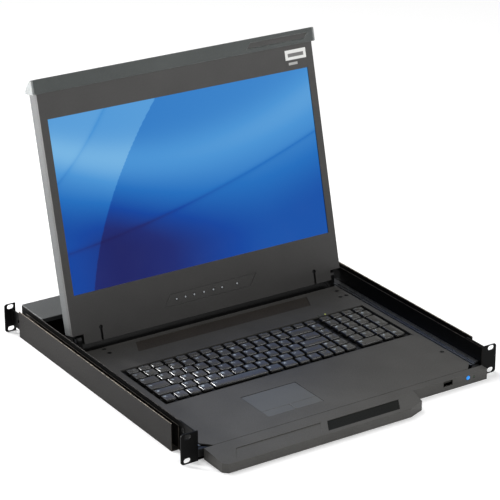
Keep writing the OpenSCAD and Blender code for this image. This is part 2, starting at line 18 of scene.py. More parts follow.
import bmesh
import bpy
import numpy as np
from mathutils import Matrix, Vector


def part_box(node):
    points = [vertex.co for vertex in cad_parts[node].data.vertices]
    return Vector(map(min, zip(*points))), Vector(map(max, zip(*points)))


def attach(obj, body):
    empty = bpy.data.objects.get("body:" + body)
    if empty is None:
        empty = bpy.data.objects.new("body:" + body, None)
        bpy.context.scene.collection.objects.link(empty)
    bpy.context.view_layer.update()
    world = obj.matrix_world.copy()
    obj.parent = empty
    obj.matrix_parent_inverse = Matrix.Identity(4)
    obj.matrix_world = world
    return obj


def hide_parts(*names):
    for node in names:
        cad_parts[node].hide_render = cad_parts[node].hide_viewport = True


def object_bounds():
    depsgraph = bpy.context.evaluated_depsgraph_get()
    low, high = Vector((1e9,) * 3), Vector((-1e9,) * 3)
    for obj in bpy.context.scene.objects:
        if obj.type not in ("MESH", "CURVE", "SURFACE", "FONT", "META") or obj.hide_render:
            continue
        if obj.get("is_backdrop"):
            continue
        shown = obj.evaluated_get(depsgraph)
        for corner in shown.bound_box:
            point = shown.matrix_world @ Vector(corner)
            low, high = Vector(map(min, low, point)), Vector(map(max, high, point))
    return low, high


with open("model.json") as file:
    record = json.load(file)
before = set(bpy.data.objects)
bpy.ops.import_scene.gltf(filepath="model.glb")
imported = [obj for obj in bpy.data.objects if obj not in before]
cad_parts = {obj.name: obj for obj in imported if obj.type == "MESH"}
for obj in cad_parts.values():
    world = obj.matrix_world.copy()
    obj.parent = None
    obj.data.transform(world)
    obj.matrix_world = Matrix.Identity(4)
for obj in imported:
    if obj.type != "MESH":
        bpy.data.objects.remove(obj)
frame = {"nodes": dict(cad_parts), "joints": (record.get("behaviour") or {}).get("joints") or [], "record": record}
MM = 0.001
cad_low, cad_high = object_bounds()
body_of_node = {
    node: body
    for body, members in frame["record"]["behaviour"]["bodies"].items()
    for node in members
}

# %% [markdown]
# ## Three small helpers for materials
#
# A colour is chosen on a screen, so it is written as an sRGB hex code, but a shader adds light and needs linear
# numbers. One function turns the one into the other. A second one adds a shader node with its settings and links
# in a single line. The third starts a material with only an output and a Principled shader, which is the common
# ground of every finish below.

# %% Colour, node and material helpers
def rgb(code):
    """Linear colour of an sRGB hex code: channels above 0.04045 become
    ((c + 0.055) / 1.055) to the power 2.4, and darker ones c / 12.92."""
    channel = np.array([int(code[i : i + 2], 16) for i in (1, 3, 5)]) / 255
    linear = np.where(channel > 0.04045, ((channel + 0.055) / 1.055) ** 2.4, channel / 12.92)
    return (*linear.tolist(), 1.0)


def add(tree, kind, inputs=(), **settings):
    """Adds a shader node. Settings are its properties; inputs maps a socket's name or number to
    a value, or to another node's output, which is then linked."""
    node = tree.nodes.new("ShaderNode" + kind)
    for name, value in settings.items():
        setattr(node, name, value)
    for socket, value in dict(inputs).items():
        if isinstance(value, bpy.types.NodeSocket):
            tree.links.new(value, node.inputs[socket])
        else:
            node.inputs[socket].default_value = value
    return node


def start_material(name, **surface):
    """A material with one Principled shader; surface maps its sockets, with _ for a space."""
    material = bpy.data.materials.new(name)
    material.use_nodes = True
    tree = material.node_tree
    tree.nodes.clear()
    sockets = {key.replace("_", " "): value for key, value in surface.items()}
    shader = add(tree, "BsdfPrincipled", sockets)
    add(tree, "OutputMaterial", {"Surface": shader.outputs["BSDF"]})
    return material, tree, shader


print("mid grey is", [round(c, 3) for c in rgb("#808080")])

# %% [markdown]
# ## A moulded or coated skin
#
# Most of this object is moulded ABS or powder-coated steel. Both are one colour that clouds a little over tens of
# millimetres, with a fine grain that breaks up the highlight, and both rub lighter and shinier along their edges.
# Here the lighter edge colour is partly that wear and partly a painted highlight. So one recipe serves them all,
# with the cloud, the grain and the worn and lit colour as its settings. The wear and painted highlight follow an
# attribute on the rounded edges of each part, and a coarse noise keeps them patchy.

# %% The recipe for grained skins
def grained(name, base, cloud, worn_and_lit, rough, grain, depth, cloud_size=45 * MM, wear_and_highlight=0.8, **surface):
    """A skin whose colour drifts from base to cloud, whose grain is a noise of the given size and depth in metres,
    and whose edges show the worn and lit colour, partly wear and partly a painted highlight, where a patchy noise
    allows it."""
    material, tree, shader = start_material(name, **surface)
    place = add(tree, "TexCoord").outputs["Object"]
    drift = add(tree, "TexNoise", {"Vector": place, "Scale": 1 / cloud_size, "Detail": 4})
    specks = add(tree, "TexNoise", {"Vector": place, "Scale": 1 / grain, "Detail": 3})
    both_noises = add(
        tree, "Math", {0: drift.outputs["Fac"], 1: specks.outputs["Fac"]}, operation="ADD"
    )
    spread = add(tree, "MapRange", {"Value": both_noises.outputs[0], 1: 0.75, 2: 1.25})
    tone = add(
        tree, "Mix", {"Factor": spread.outputs[0], 6: rgb(base), 7: rgb(cloud)}, data_type="RGBA"
    )
    patches = add(tree, "TexNoise", {"Vector": place, "Scale": 1 / (6 * MM), "Detail": 5})
    # the edges get a lighter colour here: partly wear, partly a painted highlight
    edge = add(tree, "Attribute", attribute_name="wear_and_highlight").outputs["Fac"]
    patchy = add(
        tree,
        "MapRange",
        {"Value": patches.outputs["Fac"], 1: 0.35, 2: 0.65, 3: 0.25 * wear_and_highlight, 4: wear_and_highlight},
    )
    rubbed = add(tree, "Math", {0: edge, 1: patchy.outputs[0]}, operation="MULTIPLY").outputs[0]
    colour = add(
        tree, "Mix", {"Factor": rubbed, 6: tone.outputs[2], 7: rgb(worn_and_lit)}, data_type="RGBA"
    )
    dull = add(
        tree,
        "MapRange",
        {"Value": specks.outputs["Fac"], 1: 0.3, 2: 0.7, 3: rough - 0.09, 4: rough + 0.09},
    )
    polish = add(
        tree, "Math", {0: rubbed, 1: -0.15, 2: dull.outputs[0]}, operation="MULTIPLY_ADD"
    )
    relief = add(
        tree, "Bump", {"Height": specks.outputs["Fac"], "Strength": 0.6, "Distance": depth}
    )
    tree.links.new(colour.outputs[2], shader.inputs["Base Color"])
    tree.links.new(polish.outputs[0], shader.inputs["Roughness"])
    tree.links.new(relief.outputs[0], shader.inputs["Normal"])
    return material


# %% [markdown]
# ## Steel finishes
#
# The case, tray and ears are sheet steel with a black powder coat: a polyester skin about
# 0.08 mm thick with a fine orange peel, satin to matt. The outer rails have a browner, slightly
# lighter coat. Real orange peel is under 1 mm wide, too fine to show here, so it is drawn at
# 1.6 mm. The slides are zinc-plated: a metal, grey and faintly mottled.

# %% Powder coats and zinc
PEEL = 1.6 * MM
black_coat = grained(
    "black powder coat", "#040404", "#080808", "#4a4541", 0.5, PEEL, 0.11 * MM, IOR=1.18
)
brown_coat = grained(
    "brown-grey powder coat", "#141211", "#191715", "#a39787", 0.5, PEEL, 0.12 * MM, IOR=1.22
)
zinc = grained(
    "zinc-plated steel", "#9b9c9f", "#85878b", "#c9cacc", 0.34, 2 * MM, 0.02 * MM,
    cloud_size=8 * MM, Metallic=1.0,
)
black_zinc = grained(
    "black zinc", "#0b0b0c", "#121213", "#333333", 0.4, 1.2 * MM, 0.03 * MM, IOR=1.36
)
print("steel:", black_coat.name, "/", brown_coat.name, "/", zinc.name, "/", black_zinc.name)

# %% [markdown]
# ## Moulded plastics
#
# The deck, the bezel and the front panel are charcoal ABS with a spark-eroded texture, which is
# what gives office equipment its soft sheen. The screen's back shell and the grip bar are a
# cooler grey, and the bar's end caps are paler still. The grain is really 0.3 mm; it is drawn
# at 1.3 mm so that it shows.

# %% Plastics
GRAIN = 1.3 * MM
charcoal_abs = grained(
    "charcoal textured ABS", "#4a4947", "#434240", "#7b7975", 0.5, GRAIN, 0.15 * MM, IOR=1.36
)
# a darker copy of the charcoal ABS, for painted shade in recesses
recess_shade_abs = grained(
    "recess ABS darkened as painted shade", "#3a3632", "#34302d", "#55504c", 0.56, GRAIN, 0.02 * MM, IOR=1.3
)
bezel_abs = grained(
    "bezel textured ABS", "#3f3e3d", "#393837", "#6a6865", 0.44, GRAIN, 0.13 * MM, IOR=1.5
)
shell_abs = grained(
    "grey shell ABS", "#505253", "#484b4b", "#8a8c8b", 0.44, GRAIN, 0.13 * MM, IOR=1.46
)
bar_abs = grained(
    "cool grey ABS", "#424746", "#3a3f3e", "#7d8280", 0.42, GRAIN, 0.13 * MM, IOR=1.52
)
cap_abs = grained(
    "pale grey ABS", "#8b8f8f", "#7f8383", "#b4b6b6", 0.42, GRAIN, 0.05 * MM, IOR=1.5
)
pad_abs = grained(
    "touchpad ABS", "#535350", "#4d4d4a", "#7d7d78", 0.4, 0.9 * MM, 0.06 * MM, IOR=1.52
)
black_abs = grained(
    "black ABS", "#0c0c0c", "#131313", "#2c2c2c", 0.42, GRAIN, 0.04 * MM, IOR=1.4
)
pocket_abs = grained(
    "black inlay plastic", "#0c0d0b", "#11120f", "#2a2a28", 0.62, GRAIN, 0.05 * MM, IOR=1.22
)
print("plastics:", len([m for m in bpy.data.materials if "ABS" in m.name]), "grades of ABS")

# %% [markdown]
# ## Surfaces from whole arrays
#
# New pieces are worked out with numpy: a grid of points as one array, put into a mesh in one
# go. A grid that closes on itself, such as the wall of a key cap, joins its last column to its
# first, and a pole closes the hole that is left in the middle of the last ring.

# %% Mesh helpers
def grid_faces(rows, columns, closed):
    """Quads between neighbouring rows and columns of a grid, as numbers of its points."""
    r, c = np.meshgrid(
        np.arange(rows - 1), np.arange(columns if closed else columns - 1), indexing="ij"
    )
    right = (c + 1) % columns
    here, above = r * columns, (r + 1) * columns
    corners = (here + c, here + right, above + right, above + c)
    return np.stack(corners, axis=-1).reshape(-1, 4)


def make_piece(name, points, faces, material, body, smooth=True):
    """A mesh object from points and faces, riding on a body and finished with a material."""
    mesh = bpy.data.meshes.new(name)
    mesh.from_pydata(points.tolist(), [], [list(face) for face in faces])
    mesh.shade_smooth() if smooth else mesh.shade_flat()
    mesh.materials.append(material)
    piece = bpy.data.objects.new(name, mesh)
    bpy.context.scene.collection.objects.link(piece)
    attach(piece, body)
    return piece


def point_values(piece, name, values):
    """Stores one number per point of a piece."""
    layer = piece.data.attributes.new(name, "FLOAT", "POINT")
    layer.data.foreach_set("value", np.ravel(values).astype(np.float32))


def points_of(node):
    """The corners of a part's mesh as one array."""
    mesh = frame["nodes"][node].data
    points = np.empty(len(mesh.vertices) * 3)
    mesh.vertices.foreach_get("co", points)
    return points.reshape(-1, 3)


print("a 3 by 4 closed grid has", len(grid_faces(3, 4, True)), "faces")

# %% [markdown]
# ## Softened edges
#
# No real edge is sharp: moulded plastic has a radius from its tool, and folded sheet has one from its bend, and
# that thin rounded strip is what catches the light. The imported parts have sharp edges, so each visible one is
# copied, its loose triangles are merged back into whole faces, and every edge that turns by more than 30 degrees
# is bevelled. The skins read an attribute for wear and painted highlight, which is 1 along the middle of the new
# strips and 0 on all other points. A top that things slide over can be marked as worn and lit all the way across,
# which is partly wear and partly a painted highlight.

# %% Copy a part and soften its edges
MERGE = 2e-6  # metres between points that are one point
FLAT_TURN = math.radians(0.4)  # triangles that turn by less are one face
SHADED_SHARP = math.radians(40)  # edges that turn by more are shaded as sharp
BELOW_TOP = 0.5 * MM  # from the rubbed and lit band down to the cut that ends its wear and painted highlight


def softened(node, radius, material, steps=2, turn=30, rubbed=0.0):
    """A copy of a part whose sharp edges are arcs of the given radius. Edges between faces that turn by more than
    turn degrees are bevelled, and the middle of the new strips gets 1 for wear and painted highlight: the points
    whose faces are all new. So do points within the given rubbed depth of the part's top, which paints a highlight
    there."""
    shape = bmesh.new()
    shape.from_mesh(frame["nodes"][node].data)
    bmesh.ops.remove_doubles(shape, verts=shape.verts, dist=MERGE)
    bmesh.ops.dissolve_limit(
        shape, angle_limit=FLAT_TURN, verts=shape.verts, edges=shape.edges
    )
    limit = math.radians(turn)
    sharp = [e for e in shape.edges if len(e.link_faces) == 2 and e.calc_face_angle() > limit]
    wear_and_highlight = shape.verts.layers.float.new("wear_and_highlight")
    made = bmesh.ops.bevel(
        shape, geom=sharp, offset=radius, segments=steps, affect="EDGES", clamp_overlap=True
    )
    strips = set(made["faces"])
    worn_and_lit = [p for p in made["verts"] if all(face in strips for face in p.link_faces)]
    if rubbed:
        # a cut just under the rubbed and lit top keeps its wear and painted highlight from spreading down the
        # sides
        top = max(point.co.z for point in shape.verts) - rubbed
        everything = shape.verts[:] + shape.edges[:] + shape.faces[:]
        below = (0, 0, top - BELOW_TOP)
        bmesh.ops.bisect_plane(shape, geom=everything, plane_co=below, plane_no=(0, 0, 1))
        worn_and_lit += [point for point in shape.verts if point.co.z > top]
    for point in shape.verts:
        point[wear_and_highlight] = 0.0
    for point in worn_and_lit:
        point[wear_and_highlight] = 1.0
    mesh = bpy.data.meshes.new(node + "_piece")
    shape.to_mesh(mesh)
    shape.free()
    mesh.materials.clear()
    mesh.materials.append(material)
    mesh.shade_smooth()
    mesh.set_sharp_from_angle(angle=SHADED_SHARP)
    piece = bpy.data.objects.new(node + "_piece", mesh)
    bpy.context.scene.collection.objects.link(piece)
    piece.modifiers.new("flat faces stay flat", "WEIGHTED_NORMAL").keep_sharp = True
    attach(piece, body_of_node[node])
    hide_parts(node)
    return piece


def soften_all(parts, radius, material, **options):
    """Softens several parts and prints how many faces each has."""
    for node in parts:
        piece = softened(node, radius, material, **options)
        print(f"{node}: {len(piece.data.polygons)} faces, edges of {radius / MM:.2g} mm")


def both(name):
    """The left and the right part of a pair."""
    return [name + "_left", name + "_right"]


# %% [markdown]
# ## The case, rails and ears
#
# Sheet steel 1.2 to 2 mm thick has edges broken to about 0.3 mm. The tops of the rails and of the case are painted
# lighter all the way across, partly as wear and partly as a painted highlight, and show as a thin bright line.

# %% Case, rails and ears
# the lighter tops of the case and rails are a painted highlight as well as wear
soften_all(["case_pan"], 0.3 * MM, black_coat, rubbed=0.2 * MM)
soften_all(["rear_panel", "drawer_tray", "cable_cover"], 0.3 * MM, black_coat)
soften_all(both("rail"), 0.4 * MM, brown_coat, rubbed=0.25 * MM)
soften_all(both("front_ear") + both("rear_ear"), 0.35 * MM, black_coat)
soften_all(["rear_cover"], 0.4 * MM, shell_abs)
soften_all(["bay_divider"], 0.2 * MM, black_coat)

# %% [markdown]
# ## A second finish on one part
#
# A recess in a moulding gets a darker finish here, as painted shade. Its floor is a large flat face, so it is
# found by its area and by the box that its middle lies in. The painted shade under the screen's foot is different:
# it is everything behind a line, so the faces are first cut along that line.

# %% Recesses and trims
RECESS_AREA = (500, 12000)  # square millimetres


def second_finish(piece, low, high, material):
    """Gives another material to the large faces whose middle lies in a box, in millimetres."""
    piece.data.materials.append(material)
    count = 0
    for face in piece.data.polygons:
        middle = np.array(face.center) / MM
        large = RECESS_AREA[0] < face.area / MM**2 < RECESS_AREA[1]
        if large and (middle > low).all() and (middle < high).all():
            face.material_index = 1
            count += 1
    print(piece.name, count, "recessed faces")


def paint_shade_behind(piece, start, material):
    """Cuts a piece's faces at a distance back and gives the part behind the cut a material, which paints shade
    there.
    """
    shape = bmesh.new()
    shape.from_mesh(piece.data)
    everything = shape.verts[:] + shape.edges[:] + shape.faces[:]
    bmesh.ops.bisect_plane(shape, geom=everything, plane_co=(0, start, 0), plane_no=(0, 1, 0))
    piece.data.materials.append(material)
    for face in shape.faces:
        if face.calc_center_median().y > start:
            face.material_index = len(piece.data.materials) - 1
    shape.to_mesh(piece.data)
    shape.free()


# %% [markdown]
# ## The deck and the front panel
#
# These are the mouldings that a hand rests on, so their edges are softer: 0.4 mm round the openings of the deck
# and 0.5 mm on the front panel with its handle. The recess behind the keys is darker, as painted shade, and the
# strip of the deck under the foot of the screen is painted black, as the shade under the screen.

# %% Deck and front panel
DECK_RECESS = ((-140, 279, -5.8), (155, 309, -5.4))
SCREEN_FOOT = 316 * MM
deck = softened("deck", 0.4 * MM, charcoal_abs)
soften_all(["front_panel"], 0.5 * MM, charcoal_abs)
# the darker recess floor is painted shade
second_finish(deck, *DECK_RECESS, recess_shade_abs)
# the black strip behind the screen's foot is painted shade
paint_shade_behind(deck, SCREEN_FOOT, black_coat)
soften_all(["touchpad", "left_button", "right_button"], 0.3 * MM, pad_abs)
soften_all(["handle_inlay"], 0.15 * MM, pocket_abs)
soften_all(["keyboard_base"], 0.3 * MM, black_abs)
soften_all(both("lock_tab"), 0.5 * MM, black_abs)
soften_all(["hinge_towers", "hinge_leaves"], 0.4 * MM, black_zinc)

# %% [markdown]
# ## The screen housing
#
# The back shell and the bezel meet at a seam round the sides; each has its own radius there, so the seam reads as
# a fine dark line. The grip bar along the top ends in two paler caps, and has a recess with the bezel's darker
# finish as painted shade.

# %% Screen housing
BAR_RECESS = ((100, 388, 336), (215, 402, 350))
soften_all(["lid_back"], 0.7 * MM, shell_abs, steps=3)
soften_all(["lid_bezel"], 0.5 * MM, bezel_abs)
top_bar = softened("top_bar", 0.6 * MM, bar_abs, steps=3)
# the bezel's darker finish in the bar's recess is painted shade
second_finish(top_bar, *BAR_RECESS, bezel_abs)
soften_all(["bar_end_caps"], 0.6 * MM, cap_abs, steps=3)
soften_all(["menu_strip"], 0.12 * MM, bezel_abs)

# %% [markdown]
# ## Key caps
#
# A low key cap is a shell with steep sides, rounded corners and a top that is dished by half a
# millimetre so that a finger finds its middle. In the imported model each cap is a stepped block
# at the right place, so the caps are found there: points that share a triangle belong to one
# cap. Each cap is then a stack of rounded rectangles that shrink towards the top and sink
# towards the middle.

# %% Find the separate solids of a part
def islands(node):
    """Lowest and highest corners of a part's separate solids. Points at one place are one
    point; each takes the lowest number among those it shares a triangle with, again and again,
    until nothing changes, and points with the same number are one solid."""
    mesh, points = frame["nodes"][node].data, points_of(node)
    corners = np.empty(len(mesh.loops), int)
    mesh.loops.foreach_get("vertex_index", corners)
    place = np.unique(np.round(points / 1e-6).astype(int), axis=0, return_inverse=True)[1].ravel()
    triangles = place[corners].reshape(-1, 3)
    label = np.arange(place.max() + 1)
    while True:
        lowest = label[triangles].min(axis=1)
        new = label.copy()
        np.minimum.at(new, triangles.ravel(), np.repeat(lowest, 3))
        new = new[new]
        if (new == label).all():
            break
        label = new
    solid = label[place]
    return [(points[solid == s].min(0), points[solid == s].max(0)) for s in np.unique(solid)]


# %% [markdown]
# The stack of rings is one array for all caps of a row: the outline turns through four rounded
# corners, and each ring has its own inset, corner radius and height.

# %% Shape of a key cap
CORNER_STEPS = 5
AROUND = 4 * CORNER_STEPS
# inset from the skirt and height below the top of each ring, in millimetres
CAP_RINGS = np.array(
    [
        (0.0, 3.4), (0.0, 2.9), (0.35, 1.6), (0.75, 0.7), (1.0, 0.3), (1.35, 0.07),
        (1.8, 0.0), (2.4, 0.06), (3.4, 0.22), (4.8, 0.38), (6.2, 0.44),
    ]
)


def cap_outline(half, radius):
    """Points of a rounded rectangle: a corner's centre plus radius times (cos, sin) of an angle
    that turns once round, with the centre jumping to the next corner every quarter."""
    turn = np.linspace(0, math.pi / 2, CORNER_STEPS)
    angles = (turn[None, :] + np.arange(4)[:, None] * math.pi / 2).ravel()
    side = np.repeat([(1, 1), (-1, 1), (-1, -1), (1, -1)], CORNER_STEPS, axis=0)
    centre = side * (half - radius)
    return centre + radius * np.stack([np.cos(angles), np.sin(angles)], axis=1)


def cap_points(low, high):
    """Rings of a cap from its skirt to its dished middle, and one point at the middle. The
    corners get rounder towards the skirt: 1.2 mm less 0.4 times the inset, and never under
    0.3 mm. On a narrow cap the inset stops 0.6 mm short of the middle."""
    half = (high - low)[:2] / 2
    middle = (high + low)[:2] / 2
    smallest = half.min() - 0.6 * MM
    rings = []
    for inset, drop in CAP_RINGS * MM:
        reach = min(inset, smallest)
        flat = cap_outline(half - reach, max(1.2 * MM - reach * 0.4, 0.3 * MM))
        rings.append(np.column_stack([flat + middle, np.full(len(flat), high[2] - drop)]))
    pole = np.append(middle, high[2] - CAP_RINGS[-1, 1] * MM)
    return np.vstack(rings + [pole[None, :]])


def cap_faces():
    """Quads between the rings, and triangles from the last ring to the middle."""
    walls = grid_faces(len(CAP_RINGS), AROUND, True)
    last = (len(CAP_RINGS) - 1) * AROUND
    rim = last + np.arange(AROUND)
    fan = np.stack([rim, last + (np.arange(AROUND) + 1) % AROUND], axis=1)
    return walls, np.column_stack([fan, np.full(AROUND, last + AROUND)])


walls, fan = cap_faces()
print("a cap has", len(walls) + len(fan), "faces")

# %% [markdown]
# ## Key finish
#
# Caps are moulded in charcoal ABS, and their sides are painted near black as the shade under each top. Pale
# characters are printed near the upper left corner of each. They are not readable at this size, so each legend is
# only a small broken mark, never a letter: a noise cut off at a level, inside a little window of the cap's own UV
# map, which is measured in centimetres from the cap's left front corner.

# %% Key material
# low and high edge of the mark on each axis of the cap's map, and the width of its soft rim
MARK_WINDOW = (("X", 0.26, 0.72), ("Y", 0.9, 1.3))
MARK_RIM = 0.02


def key_finish():
    """Charcoal ABS with sides painted near black as shade, and a pale printed mark inside a window of the UV map.
    """
    material, tree, shader = start_material(
        "printed key ABS", IOR=1.5, Coat_Weight=0.45, Coat_Roughness=0.2
    )
    place = add(tree, "TexCoord").outputs["Object"]
    flat = add(tree, "UVMap", uv_map="cap").outputs["UV"]
    drift = add(tree, "TexNoise", {"Vector": place, "Scale": 1 / (14 * MM), "Detail": 3})
    top_colour = add(
        tree, "Mix", {"Factor": drift.outputs["Fac"], 6: rgb("#42413e"), 7: rgb("#4e4d49")},
        data_type="RGBA",
    )
    # the attribute top keeps the tops in the cap colour and paints the sides near black as shade
    top = add(tree, "Attribute", attribute_name="top").outputs["Fac"]
    tone = add(
        tree, "Mix", {"Factor": top, 6: rgb("#131313"), 7: top_colour.outputs[2]},
        data_type="RGBA",
    )
    axes = add(tree, "SeparateXYZ", {"Vector": flat})
    ink = add(tree, "TexNoise", {"Vector": place, "Scale": 1 / (1.5 * MM), "Detail": 1})
    drawn = add(
        tree, "MapRange", {"Value": ink.outputs["Fac"], 1: 0.49, 2: 0.53}, clamp=True
    ).outputs[0]
    for axis, low, high in MARK_WINDOW:
        for edge, way in ((low, MARK_RIM), (high, -MARK_RIM)):
            window = add(
                tree,
                "MapRange",
                {"Value": axes.outputs[axis], 1: edge - way, 2: edge + way},
                clamp=True,
            ).outputs[0]
            drawn = add(tree, "Math", {0: drawn, 1: window}, operation="MULTIPLY").outputs[0]
    colour = add(
        tree, "Mix", {"Factor": drawn, 6: tone.outputs[2], 7: rgb("#a9b3ba")}, data_type="RGBA"
    )
    specks = add(tree, "TexNoise", {"Vector": place, "Scale": 1 / (0.8 * MM), "Detail": 2})
    dull = add(
        tree, "MapRange", {"Value": specks.outputs["Fac"], 1: 0.3, 2: 0.7, 3: 0.26, 4: 0.4}
    )
    relief = add(
        tree, "Bump", {"Height": specks.outputs["Fac"], "Strength": 0.4, "Distance": 0.03 * MM}
    )
    tree.links.new(colour.outputs[2], shader.inputs["Base Color"])
    tree.links.new(dull.outputs[0], shader.inputs["Roughness"])
    tree.links.new(relief.outputs[0], shader.inputs["Normal"])
    return material


key_abs = key_finish()
print("keys:", key_abs.name)

# %% [markdown]
# The caps of one row are one piece, as they share a body. Each point also gets the attribute top, which rises from
# 0 to 1 across the shoulder of the cap and paints the sides below it dark as shade, and a place on the cap's map.

# %% Make the caps of every key row
SHOULDER, SHOULDER_WIDTH = 0.9, 0.6  # inset where the top begins, and its soft step, in mm
MAP_UNIT = 10 * MM
KEY_ROWS = [n for n in frame["nodes"] if n.endswith("_keys")] + ["space_bar", "enter_key"]
for row in sorted(KEY_ROWS):
    solids = islands(row)
    stacks = [cap_points(low, high) for low, high in solids]
    count = len(stacks[0])
    shift = np.arange(len(stacks))[:, None, None] * count
    faces = (walls[None] + shift).reshape(-1, 4).tolist()
    faces += (fan[None] + shift).reshape(-1, 3).tolist()
    piece = make_piece(
        row + "_caps", np.vstack(stacks), faces, key_abs, body_of_node[row]
    )
    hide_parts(row)
    inset = np.append(np.repeat(CAP_RINGS[:, 0], AROUND), CAP_RINGS[-1, 0])
    # 1 on the top and 0 on the sides, which are painted dark as shade
    unshaded_top = np.clip((inset - SHOULDER) / SHOULDER_WIDTH, 0, 1)
    point_values(piece, "top", np.tile(unshaded_top, len(solids)))
    corner = np.repeat([low for low, high in solids], count, axis=0)
    local = (np.vstack(stacks) - corner)[:, :2] / MAP_UNIT
    loops = np.empty(len(piece.data.loops), int)
    piece.data.loops.foreach_get("vertex_index", loops)
    layer = piece.data.uv_layers.new(name="cap")
    layer.data.foreach_set("uv", local[loops].astype(np.float32).ravel())
    print(row, len(solids), "caps")

# %% [markdown]
# ## The picture on the screen
#
# The display is lit from behind and covered by a hard glossy sheet. Its picture is a plain blue sweep: light over
# dark, with two thin arcs. A paler part on the left that ends in a clean curve is a painted reflection on the
# glass. It is worked out as one number between 0 and 1 at each point of a fine grid, and the material turns that
# number into blues.

# %% The picture as a number at each point
COLUMNS, ROWS = 300, 174


def rise(value, low, high):
    """A soft step: 3x^2 - 2x^3 of how far value has come from low to high."""
    x = np.clip((value - low) / (high - low), 0, 1)
    return x * x * (3 - 2 * x)


def sweep(s, t):
    """Brightness of the picture at s across and t up, both 0 to 1. A pale streak sinks and rises with s; above it
    is mid blue and below it the picture falls off to a ground that is dark on the left and mid blue on the right.
    Two thin darker arcs cross it, and the part to the left of a leaning curve is lifted as a painted reflection."""
    middle = 0.82 - 0.71 * s + 0.72 * s**2
    ground = 0.09 + 0.35 * rise(s, 0.12, 0.8) + 0.12 * rise(0.12 - s, -0.1, 0.12)
    below = rise(middle - t, 0.02 + 0.12 * s, 0.48 + 0.12 * s)
    level = 0.6 + 0.08 * s + (ground - 0.6 - 0.08 * s) * below
    level = level + 0.13 * np.exp(-(((t - middle) / (0.09 + 0.06 * s)) ** 2))
    first, second = 0.62 + 1.2 * s + 2.5 * s**2, 0.24 + 0.168 * s + 0.212 * s**2
    for line, width, depth in ((first, 0.012, 0.07), (second, 0.009, 0.1)):
        level = level - depth * np.exp(-np.abs(t - line) / width) + 0.03 * (t > line) - 0.015
    # painted reflection: the part left of a leaning curve is lifted
    painted_reflection = 0.17 * (s < 0.083 + 0.13 * t + 0.197 * t**2)
    return np.clip(level + painted_reflection, 0, 1)


s, t = np.meshgrid(np.linspace(0, 1, COLUMNS), np.linspace(0, 1, ROWS))
brightness = sweep(s, t)
print(f"brightness from {brightness.min():.2f} to {brightness.max():.2f}")

# %% [markdown]
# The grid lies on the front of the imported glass. The hinge folds the screen flat onto the deck
# at one end of its range, so what that range has beyond a right angle is the screen's lean.

# %% Place the grid on the glass
hinge = next(j for j in frame["joints"] if j["name"] == "lid_hinge")
hinge_place = np.array(hinge["pos_m"])
lean = math.radians(hinge["range_deg"][1] - 90)
lid_up = np.array([0, math.sin(lean), math.cos(lean)])
lid_out = np.array([0, -math.cos(lean), math.sin(lean)])
print(f"the screen leans back by {math.degrees(lean):.1f} degrees")


def on_lid(u, v, n):
    """Points in the frame from u along the hinge, v up the lid and n out of its face."""
    u, v, n = np.broadcast_arrays(u, v, n)
    along = np.stack([u, np.zeros_like(u), np.zeros_like(u)], axis=-1)
    return hinge_place + along + v[..., None] * lid_up + n[..., None] * lid_out


# %% [markdown]
# The sheet is a closed slab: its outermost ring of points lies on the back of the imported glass,
# and the rest on the front, so its rim comes with the grid. One large face closes its back. The
# label further down is made in the same way.

# %% Glass front
def lid_range(points):
    """Lowest and highest u, v and n of points on the lid."""
    local = points - hinge_place
    own = np.stack([local[:, 0], local @ lid_up, local @ lid_out], axis=1)
    return own.min(0), own.max(0)


glass_low, glass_high = lid_range(points_of("screen_glass"))


def framed(values, edge):
    """A grid with one more ring of points around it, which holds the given value, or copies of
    the nearest ones where edge is None."""
    if edge is None:
        return np.pad(values, 1, mode="edge")
    return np.pad(values, 1, constant_values=edge)


def slab_faces(rows, columns):
    """Faces of a grid with its extra ring: its quads, and one face over the ring's points."""
    index = np.arange((rows + 2) * (columns + 2)).reshape(rows + 2, columns + 2)
    ring = np.concatenate([index[0, :-1], index[:-1, -1], index[-1, :0:-1], index[:0:-1, 0]])
    return grid_faces(rows + 2, columns + 2, False).tolist() + [ring[::-1].tolist()]


across = glass_low[0] + s * (glass_high[0] - glass_low[0])
upward = glass_low[1] + t * (glass_high[1] - glass_low[1])
depth = framed(np.full(s.shape, glass_high[2]), glass_low[2])
points = on_lid(framed(across, None), framed(upward, None), depth).reshape(-1, 3)


def display_finish():
    """Hard-coated glass over a lit picture: the attribute picture runs through a ramp of blues."""
    material, tree, shader = start_material(
        "hard-coated display glass", Base_Color=rgb("#04060c"), IOR=1.5, Emission_Strength=0.92
    )
    level = add(tree, "Attribute", attribute_name="picture").outputs["Fac"]
    ramp = add(tree, "ValToRGB", {"Fac": level})
    stops = (
        (0.0, "#1d1c5a"), (0.18, "#1e2b74"), (0.36, "#1047a4"), (0.56, "#2372c4"),
        (0.76, "#4d99dc"), (1.0, "#88c6f0"),
    )
    while len(ramp.color_ramp.elements) < len(stops):
        ramp.color_ramp.elements.new(0.5)
    for element, (where, code) in zip(ramp.color_ramp.elements, stops):
        element.position = where
        element.color = rgb(code)
    place = add(tree, "TexCoord").outputs["Object"]
    haze = add(tree, "TexNoise", {"Vector": place, "Scale": 1 / (30 * MM), "Detail": 2})
    dull = add(
        tree, "MapRange", {"Value": haze.outputs["Fac"], 1: 0.3, 2: 0.7, 3: 0.05, 4: 0.1}
    )
    tree.links.new(ramp.outputs["Color"], shader.inputs["Emission Color"])
    tree.links.new(dull.outputs[0], shader.inputs["Roughness"])
    return material


display = make_piece(
    "display_sheet", points, slab_faces(ROWS, COLUMNS), display_finish(), "lid",
    smooth=False,
)
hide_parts("screen_glass")
point_values(display, "picture", framed(brightness, None))
print("display", len(display.data.polygons), "faces")

